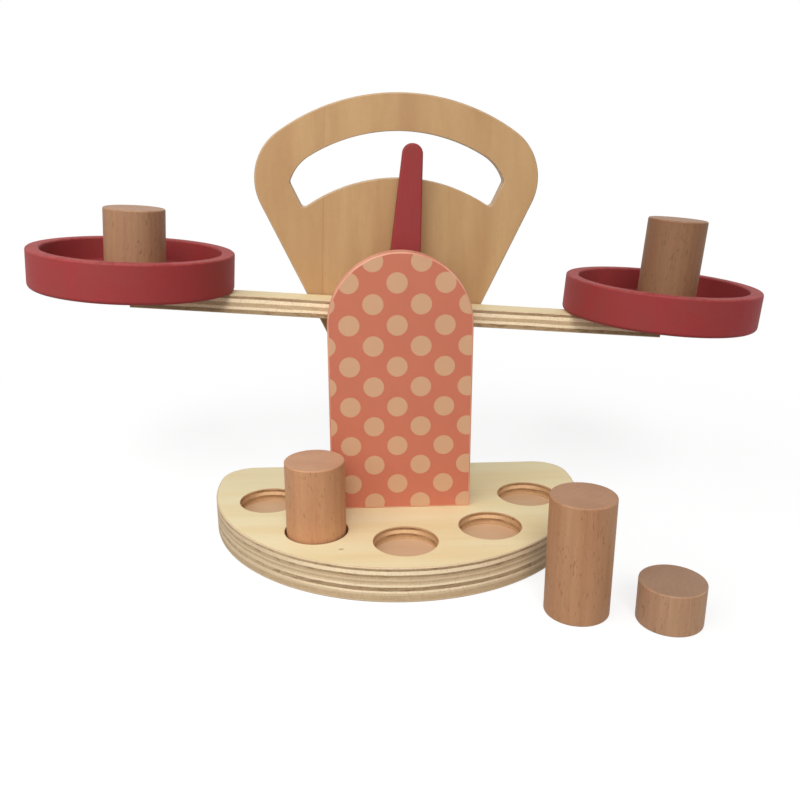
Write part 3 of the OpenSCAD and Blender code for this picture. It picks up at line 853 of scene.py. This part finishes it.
def shape_nodes(name, sizes, build):
    """A geometry node group with named inputs for its sizes."""
    group = bpy.data.node_groups.new(name, "GeometryNodeTree")
    tree = Tree(group)
    group.interface.new_socket("Geometry", in_out="OUTPUT", socket_type="NodeSocketGeometry")
    for size in sizes:
        socket = group.interface.new_socket(size, in_out="INPUT", socket_type="NodeSocketFloat")
        socket.subtype = "DISTANCE"
    group.interface.new_socket("Segments", in_out="INPUT", socket_type="NodeSocketInt")
    group.interface.new_socket("Finish", in_out="INPUT", socket_type="NodeSocketMaterial")
    given = tree.node("NodeGroupInput")
    named = {key: given.output(key) for key in list(sizes) + ["Segments", "Finish"]}
    result = build(tree, named)
    tree.node("NodeGroupOutput", {}, {"Geometry": result})
    return group


def weight_nodes():
    """Nodes for a weight: a dowel with two rounded edges."""
    def build(tree, size):
        corners = [
            (0, 0, 0), (size["Radius"], 0, size["Edge"]),
            (size["Radius"], size["Height"], size["Edge"]), (0, size["Height"], 0),
        ]
        return lathe(tree, corners, size["Segments"], size["Finish"])
    return shape_nodes("Turned weight", ("Radius", "Height", "Edge"), build)


def pan_nodes():
    """Nodes for a pan: a round tray with a thick wall."""
    def build(tree, size):
        inner = size["Radius"] - size["Wall"]
        corners = [
            (0, 0, 0), (size["Radius"], 0, size["Foot"]),
            (size["Radius"], size["Height"], size["Rim"]), (inner, size["Height"], size["Rim"]),
            (inner, size["Floor"], size["Cove"]), (0, size["Floor"], 0),
        ]
        return lathe(tree, corners, size["Segments"], size["Finish"])
    sizes = ("Radius", "Height", "Wall", "Floor", "Foot", "Rim", "Cove")
    return shape_nodes("Turned pan", sizes, build)


def turned_piece(name, group, sizes, place):
    """A piece made by geometry nodes and then put in its place."""
    maker = put_in_scene(name + " maker", bpy.data.meshes.new(name))
    nodes = maker.modifiers.new("Turned", "NODES")
    nodes.node_group = group
    for socket in group.interface.items_tree:
        if socket.in_out == "INPUT":
            nodes[socket.identifier] = sizes[socket.name]
    evaluated = maker.evaluated_get(bpy.context.evaluated_depsgraph_get())
    mesh = bpy.data.meshes.new_from_object(evaluated)
    mesh.name = name
    maker.modifiers.remove(nodes)
    bpy.data.objects.remove(maker)
    if not len(mesh.polygons):
        raise RuntimeError(name + " came out empty")
    mesh.transform(place)
    shell = bmesh.new()
    shell.from_mesh(mesh)
    bmesh.ops.recalc_face_normals(shell, faces=shell.faces[:])
    shell.to_mesh(mesh)
    shell.free()
    return add_piece(name, mesh)


# Stage

def look_from(settings):
    """The camera, turned to the right, dipped and rolled."""
    turn, dip, roll = settings.camera_turn, settings.camera_dip, settings.camera_roll
    ahead = Vector((sin(turn) * cos(dip), cos(turn) * cos(dip), -sin(dip)))
    right = Vector((cos(turn), -sin(turn), 0))
    up = right.cross(ahead)
    side = right * cos(roll) + up * sin(roll)
    top = up * cos(roll) - right * sin(roll)
    lens = bpy.data.cameras.new("camera")
    lens.lens = settings.lens
    lens.sensor_width = settings.sensor
    lens.sensor_fit = "HORIZONTAL"
    lens.clip_start = settings.nearest
    lens.clip_end = settings.farthest
    camera = put_in_scene("camera", lens)
    axes = Matrix((side, top, -ahead)).transposed().to_4x4()
    camera.matrix_world = Matrix.Translation(settings.camera_place) @ axes
    return camera


def light_up(settings):
    """The main light from the front and a soft one from the left."""
    lamp = bpy.data.lights.new("main light", "SUN")
    lamp.energy = settings.sun
    lamp.angle = settings.sun_softness
    sun = put_in_scene("main light", lamp)
    left, high = settings.sun_turn, settings.sun_height
    shines_from = Vector((-sin(left) * cos(high), -cos(left) * cos(high), sin(high)))
    sun.rotation_euler = shines_from.to_track_quat("Z", "Y").to_euler()
    sun.location = shines_from

    lamp = bpy.data.lights.new("side light", "AREA")
    lamp.energy = settings.side_power
    lamp.shape = "DISK"
    lamp.size = settings.side_size
    soft = put_in_scene("side light", lamp)
    soft.location = settings.side_place
    aim = Vector(settings.side_place) - hinge_place
    soft.rotation_euler = aim.to_track_quat("Z", "Y").to_euler()


def white_room(settings):
    """Soft light from all round, and plain white wherever the room is seen."""
    world = bpy.data.worlds.new("white room")
    world.use_nodes = True
    sky = Tree(world.node_tree)
    level = settings.sky + (1 - settings.sky) * sky.seen()
    light = sky.node("ShaderNodeBackground", {}, {"Color": (1, 1, 1), "Strength": level})
    sky.node("ShaderNodeOutputWorld", {}, {"Surface": light})
    return world


def white_floor(settings):
    """A white floor that keeps the soft shadow of what stands on it."""
    made = Finish("white floor")
    seen = made.seen()
    away = (made.x ** 2 + made.y ** 2) ** 0.5
    far = made.rise(away, settings.floor_near / MM, settings.floor_far / MM)
    near = made.node("ShaderNodeBsdfPrincipled", {}, {
        "Base Color": (settings.floor_level,) * 3, "Roughness": 0.9, "Specular IOR Level": 0.0,
        "Emission Color": (1, 1, 1), "Emission Strength": settings.floor_glow * seen,
    })
    white = made.node("ShaderNodeEmission", {}, {"Color": (1, 1, 1), "Strength": 1.0})
    both = made.node("ShaderNodeMixShader", {}, {0: far * seen, 1: near, 2: white})
    made.node("ShaderNodeOutputMaterial", {}, {"Surface": both})
    return made.material


def lay_floor(settings):
    """A round floor, a hair below the toy."""
    mesh = bpy.data.meshes.new("floor")
    sheet = bmesh.new()
    bmesh.ops.create_circle(sheet, cap_ends=True, radius=settings.floor_radius, segments=96)
    for corner in sheet.verts:
        corner.co.z = -settings.floor_drop
    bmesh.ops.recalc_face_normals(sheet, faces=sheet.faces[:])
    sheet.to_mesh(mesh)
    sheet.free()
    mesh.materials.append(white_floor(settings))
    put_in_scene("floor", mesh)


class BALANCE_OT_stage(Operator):
    """Set up the camera, the light and the white floor"""
    bl_idname = "balance.stage"
    bl_label = "Stage"

    def execute(self, context):
        scene, settings = context.scene, context.scene.balance_stage
        scene.view_settings.view_transform = "Standard"
        scene.camera = look_from(settings)
        light_up(settings)
        scene.world = white_room(settings)
        lay_floor(settings)
        return {"FINISHED"}


# Pieces

def dress(node, finish):
    """Gives a solid part its finish."""
    part = frame["nodes"][node]
    if not part.material_slots:
        part.data.materials.append(finish)
    for slot in part.material_slots:
        slot.material = finish


def take_place(piece, node, body):
    """Shows a piece instead of a solid part, and ties it to the part's body."""
    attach(piece, body)
    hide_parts(node)


def screw_places(node, count, own_frame=STRAIGHT):
    """The middles of the screws in a solid part of loose screws, seen from above in its own frame."""
    mesh = bmesh.new()
    mesh.from_mesh(frame["nodes"][node].data)
    mesh.transform(own_frame.inverted())
    bmesh.ops.remove_doubles(mesh, verts=mesh.verts[:], dist=WELD)
    left = set(mesh.verts)
    found = []
    while left:
        screw, edge = set(), [left.pop()]
        while edge:
            corner = edge.pop()
            screw.add(corner)
            for line in corner.link_edges:
                other = line.other_vert(corner)
                if other in left:
                    left.discard(other)
                    edge.append(other)
        xs = [corner.co.x for corner in screw]
        ys = [corner.co.y for corner in screw]
        found.append(((min(xs) + max(xs)) / 2, (min(ys) + max(ys)) / 2))
    mesh.free()
    if len(found) != count:
        raise RuntimeError(f"{node} has {len(found)} screws, not {count}")
    return sorted(found)


class BALANCE_OT_base(Operator):
    """Build the half-round plywood base with its weight recesses"""
    bl_idname = "balance.base"
    bl_label = "Base"

    def execute(self, context):
        sizes, colours = context.scene.stand_sizes, context.scene.balance_colours
        radius, corner = base_high.x, sizes.base_corner
        centre = (0, sizes.base_centre)
        corner_y = base_high.y - corner
        corner_x = ((radius - corner) ** 2 - (corner_y - centre[1]) ** 2) ** 0.5
        lean = degrees(atan2(corner_y - centre[1], corner_x))
        outline = (arc((corner_x, corner_y), corner, lean, 90, steps=12)
                   + arc((-corner_x, corner_y), corner, 90, 180 - lean, steps=12)
                   + arc(centre, radius, 180 - lean, 360 + lean, steps=128)[1:-1])
        top = base_high.z
        board = Board(STRAIGHT)
        board.side(eased(outline, 0, top, sizes.board_ease))
        first = -(sizes.recess_count - 1) / 2
        bottom, lip = top - sizes.recess_depth, sizes.recess_lip
        # Half way round the rim, this is still left of its rounding
        lip_rest = 0.3 * lip
        for number in range(sizes.recess_count):
            turn = (first + number) * sizes.recess_step
            middle = (sizes.recess_circle * sin(turn),
                      centre[1] - sizes.recess_circle * cos(turn))
            ring = hole_ring(middle, sizes.recess_radius, steps=72)
            board.side([(ring, bottom), (ring, top - lip), (inset(ring, lip_rest), top - lip_rest),
                        (inset(ring, lip), top)], POCKET, True)
        sink = context.scene.balance_sizes.head_sink
        for place in screw_places("base_screws", 6):
            board.side(screw_way(place, sizes.screw_shank, sizes.screw_head, sink, 0, top))
        piece = board.piece("plywood_base", (
            birch_face(colours), ply_edge(colours, "base ply edge", STRAIGHT, top / MM, BASE_PLIES),
            recess_floor(colours),
            # Painted shade: the recess walls are made darker and warmer than the base's outer edge.
            ply_edge(colours, "recess ply edge", STRAIGHT, top / MM, BASE_PLIES, 0.85),
        ))
        take_place(piece, "base_board", "stand")
        return {"FINISHED"}


class BALANCE_OT_front_panel(Operator):
    """Build the arched front panel with its dots"""
    bl_idname = "balance.front_panel"
    bl_label = "Front panel"

    def execute(self, context):
        sizes, colours = context.scene.stand_sizes, context.scene.balance_colours
        half = panel_high.x
        spring = panel_high.z - half
        outline = ([(-half, panel_low.z), (half, panel_low.z)]
                   + arc((0, spring), half, 0, 180, steps=64))
        board = Board(upright)
        board.side(eased(outline, -panel_high.y, -panel_low.y, sizes.board_ease))
        piece = board.piece("coral_panel", (coral_paint(colours, sizes, True),
                                            coral_paint(colours, sizes, False)))
        take_place(piece, "front_panel", "stand")
        return {"FINISHED"}


class BALANCE_OT_dial_board(Operator):
    """Build the dial board, a post that widens to a fan with an arched window"""
    bl_idname = "balance.dial_board"
    bl_label = "Dial board"

    def execute(self, context):
        sizes, colours = context.scene.stand_sizes, context.scene.balance_colours
        half = panel_high.x
        centre, corner, flare = sizes.dial_centre, sizes.dial_corner, sizes.dial_flare
        reach = dial_high.z - centre
        shoulder_x = sizes.dial_width / 2 - corner
        shoulder = (shoulder_x, centre + ((reach - corner) ** 2 - shoulder_x ** 2) ** 0.5)
        widening = (shoulder_x + corner * cos(flare) - half) / tan(flare)
        foot = (half, shoulder[1] - corner * sin(flare) - widening)
        outline = ([(-half, dial_low.z), (half, dial_low.z), foot]
                   + crown(centre, reach, shoulder, corner, -flare) + [(-half, foot[1])])
        board = Board(upright)
        low, high = -dial_high.y, -dial_low.y
        board.side(eased(outline, low, high, sizes.board_ease))
        board.side(eased(self.window(sizes, foot, reach), low, high, sizes.window_ease))
        edge = ply_edge(colours, "dial ply edge", upright, high / MM, DIAL_PLIES, 0.4)
        piece = board.piece("veneer_dial", (dial_veneer(colours), edge))
        take_place(piece, "dial_board", "stand")
        return {"FINISHED"}

    def window(self, sizes, foot, reach):
        """The window's outline: a crown inside the board's own, above a round sill.

        The crown's shoulders run past the sloping ends, which cut them off to points."""
        centre, bend, flare = sizes.dial_centre, sizes.window_bend, sizes.dial_flare
        upper = reach - sizes.window_rim
        sill_centre = centre + upper - sizes.window_height - sizes.window_low
        inner = (foot[0] - sizes.window_end / cos(flare), foot[1])
        deeper = (inner[0] - (bend - sizes.window_overrun) / cos(flare), foot[1])
        shoulder = slope_meets_circle(deeper, flare, centre, upper - bend)
        start = acos(1 - sizes.window_overrun / bend) - flare
        end_x, end_z = slope_meets_circle(inner, flare, sill_centre, sizes.window_low)
        turn = degrees(atan2(end_z - sill_centre, end_x))
        outline = (crown(centre, upper, shoulder, bend, start)
                   + arc((0, sill_centre), sizes.window_low, 180 - turn, turn, steps=40))
        return round_corners(outline[::-1], sizes.window_corner)


class BALANCE_OT_beam(Operator):
    """Build the plywood beam"""
    bl_idname = "balance.beam"
    bl_label = "Beam"

    def execute(self, context):
        sizes, colours = context.scene.balance_sizes, context.scene.balance_colours
        reach, half = sizes.beam_half, sizes.beam_depth / 2
        low, high = sizes.beam_low, sizes.beam_high
        outline = [(-reach, -half), (reach, -half), (reach, half), (-reach, half)]
        board = Board(on_balance)
        board.side(eased(outline, low, high, sizes.beam_ease))
        wide = sizes.tenon / 2 + sizes.tenon_room
        deep = sizes.needle_thick / 2 + sizes.tenon_room
        slot = [(-wide, -deep), (-wide, deep), (wide, deep), (wide, -deep)]
        board.side([(slot, low), (slot, high)])
        for node, count, from_below in (("pan_screws", 4, True), ("hub_screws", 2, False)):
            for place in screw_places(node, count, on_balance):
                board.side(screw_way(place, sizes.small_screw, sizes.small_head,
                                     sizes.head_sink, low, high, from_below))
        edge = ply_edge(colours, "beam ply edge", on_balance, high / MM, BEAM_PLIES)
        piece = board.piece("plywood_beam", (beam_face(colours), edge))
        take_place(piece, "beam", "balance")
        return {"FINISHED"}


def beam_face(colours):
    """The beam's top and underside, with the grain along it."""
    made = Finish("beam face", on_balance, seed=8.8)
    slow = made.noise((90, 9, 9), detail=3)
    fibre = made.noise((14, 0.5, 0.5), detail=3, roughness=0.6, shift=9)
    tone = made.mix(made.rise(slow, 0.3, 0.7), colours.birch, colours.birch_dark)
    tone = made.tint(tone, 0.93 + 0.12 * fibre)
    return made.surface(tone, 0.52 + 0.1 * fibre, fibre, 0.12, 0.4)


class BALANCE_OT_needle(Operator):
    """Build the red needle"""
    bl_idname = "balance.needle"
    bl_label = "Needle"

    def execute(self, context):
        sizes, colours = context.scene.balance_sizes, context.scene.balance_colours
        low, high = sizes.beam_low, sizes.beam_high
        tip, foot, tenon = sizes.needle_tip, sizes.needle_foot / 2, sizes.tenon / 2
        tip_z = sizes.needle_reach - tip
        lean = degrees(atan2(foot - tip, tip_z - high))
        outline = ([(-tenon, low), (tenon, low), (tenon, high), (foot, high)]
                   + arc((0, tip_z), tip, lean, 180 - lean)
                   + [(-foot, high), (-tenon, high)])
        board = Board(on_balance @ upright)
        half = sizes.needle_thick / 2
        board.side(eased(outline, -half, half, sizes.needle_ease, steps=4))
        paint = red_paint(colours, "needle paint", on_balance, (0.7, 0.7, 9))
        piece = board.piece("red_needle", (paint, paint))
        take_place(piece, "needle", "balance")
        return {"FINISHED"}


class BALANCE_OT_pans(Operator):
    """Turn the two red pans"""
    bl_idname = "balance.pans"
    bl_label = "Pans"

    def execute(self, context):
        sizes, colours = context.scene.balance_sizes, context.scene.balance_colours
        nodes = pan_nodes()
        for side, node, name in ((-1, "left_pan", "left_tray"), (1, "right_pan", "right_tray")):
            place = on_balance @ Matrix.Translation((side * sizes.pan_reach, 0, sizes.beam_high))
            finish = red_paint(colours, node + " paint", place, (5, 0.8, 0.8), sizes.pan_height / MM)
            piece = turned_piece(name, nodes, {
                "Radius": sizes.pan_radius, "Height": sizes.pan_height, "Wall": sizes.pan_wall,
                "Floor": sizes.pan_floor, "Foot": sizes.pan_foot, "Rim": sizes.pan_rim,
                "Cove": sizes.pan_cove, "Segments": sizes.pan_facets, "Finish": finish,
            }, place)
            take_place(piece, node, "balance")
        return {"FINISHED"}


# How light each weight's side and ends are beside the plain beech colour, and how bleached it is. The
# levels hold painted shade as well as the wood's own tone: the weights that stand in the pans are made
# darker as painted shade, and the ends of each weight have a level of their own.
WEIGHT_TONES_AND_SHADE = {1: (0.93, 0.74, 0.3), 2: (0.72, 0.8, 0.15), 3: (0.55, 0.72, 0.0),
                 4: (1.05, 1.1, 0.0), 5: (0.93, 0.88, 0.05)}


class BALANCE_OT_weights(Operator):
    """Turn the five beech weights"""
    bl_idname = "balance.weights"
    bl_label = "Weights"

    def execute(self, context):
        sizes, colours = context.scene.balance_sizes, context.scene.balance_colours
        nodes = weight_nodes()
        for number, levels in WEIGHT_TONES_AND_SHADE.items():
            node = f"weight_{number}"
            place, height = self.stand_of(node)
            # No two weights show the same stretch of grain
            grain, seed = place @ Matrix.Rotation(0.7 * number, 4, "Z"), 4.3 * number
            finish = beech(colours, f"beech {number}", grain, seed, height / MM, *levels)
            piece = turned_piece("beech_" + node, nodes, {
                "Radius": sizes.weight_radius, "Height": height, "Edge": sizes.weight_edge,
                "Segments": sizes.weight_facets, "Finish": finish,
            }, place)
            take_place(piece, node, node)
        return {"FINISHED"}

    def stand_of(self, node):
        """Where a weight stands, and how tall it is, from its solid.

        A weight stands straight or tilted as the balance is, whichever box fits it closer."""
        corners = [corner.co for corner in frame["nodes"][node].data.vertices]
        # A box fits closer if its front is smaller by at least this much
        real_gain = 0.01 * MM * MM
        best = None
        for turned in (STRAIGHT, on_balance.to_3x3().to_4x4()):
            back = turned.inverted()
            local = [back @ corner for corner in corners]
            low = [min(corner[axis] for corner in local) for axis in range(3)]
            high = [max(corner[axis] for corner in local) for axis in range(3)]
            room = (high[0] - low[0]) * (high[2] - low[2])
            if best is None or room < best[0] - real_gain:
                foot = Vector(((low[0] + high[0]) / 2, (low[1] + high[1]) / 2, low[2]))
                best = room, turned @ Matrix.Translation(foot), high[2] - low[2]
        return best[1:]


class BALANCE_OT_hardware(Operator):
    """Give the hidden blocks, dowels, axle, washers, bush and screws their finishes"""
    bl_idname = "balance.hardware"
    bl_label = "Hardware"

    def execute(self, context):
        colours = context.scene.balance_colours
        block = plain_wood(colours, "spacer wood", STRAIGHT, (16, 0.7, 0.7))
        hub = plain_wood(colours, "hub wood", on_balance, (12, 0.7, 0.7))
        dowel = plain_wood(colours, "dowel wood", STRAIGHT, (0.6, 9, 0.6))
        dress("spacer_block", block)
        dress("hub_block", hub)
        dress("left_stop_dowel", dowel)
        dress("right_stop_dowel", dowel)
        turned = metal("axle steel", colours.steel, (4, 0.3, 4))
        plated = metal("screw steel", colours.steel, (2, 2, 0.4))
        dress("axle", turned)
        for node in ("front_washer", "rear_washer", "base_screws", "hub_screws", "pan_screws"):
            dress(node, plated)
        dress("hub_bush", metal("bush brass", colours.brass, (3, 0.3, 3), on_balance))
        return {"FINISHED"}


class BALANCE_PT_pieces(Panel):
    """Lists what the toy is made of"""
    bl_idname = "BALANCE_PT_pieces"
    bl_label = "Balance scale toy"
    bl_space_type = "VIEW_3D"
    bl_region_type = "UI"
    bl_category = "Balance"

    def draw(self, context):
        column = self.layout.column()
        for operator in OPERATORS:
            column.operator(operator.bl_idname)
        for settings in GROUPS:
            group = getattr(context.scene, settings)
            for key in group.__annotations__:
                column.prop(group, key)


OPERATORS = (
    BALANCE_OT_stage, BALANCE_OT_base, BALANCE_OT_front_panel, BALANCE_OT_dial_board,
    BALANCE_OT_beam, BALANCE_OT_needle, BALANCE_OT_pans, BALANCE_OT_weights, BALANCE_OT_hardware,
)
GROUPS = {
    "stand_sizes": StandSizes, "balance_sizes": BalanceSizes,
    "balance_colours": Colours, "balance_stage": StageSettings,
}


def register():
    """Makes the sizes, the operators and the panel known."""
    for group in GROUPS.values():
        bpy.utils.register_class(group)
    for key, group in GROUPS.items():
        setattr(bpy.types.Scene, key, PointerProperty(type=group))
    for operator in OPERATORS:
        bpy.utils.register_class(operator)
    bpy.utils.register_class(BALANCE_PT_pieces)


def unregister():
    """Takes them all away again."""
    bpy.utils.unregister_class(BALANCE_PT_pieces)
    for operator in reversed(OPERATORS):
        bpy.utils.unregister_class(operator)
    for key in GROUPS:
        delattr(bpy.types.Scene, key)
    for group in reversed(list(GROUPS.values())):
        bpy.utils.unregister_class(group)


def main():
    """Builds the toy, one piece after another."""
    register()
    for operator in OPERATORS:
        family, name = operator.bl_idname.split(".")
        result = getattr(getattr(bpy.ops, family), name)()
        if result != {"FINISHED"}:
            raise RuntimeError(operator.bl_label + " wasn't built")


if __name__ == "__main__":
    main()
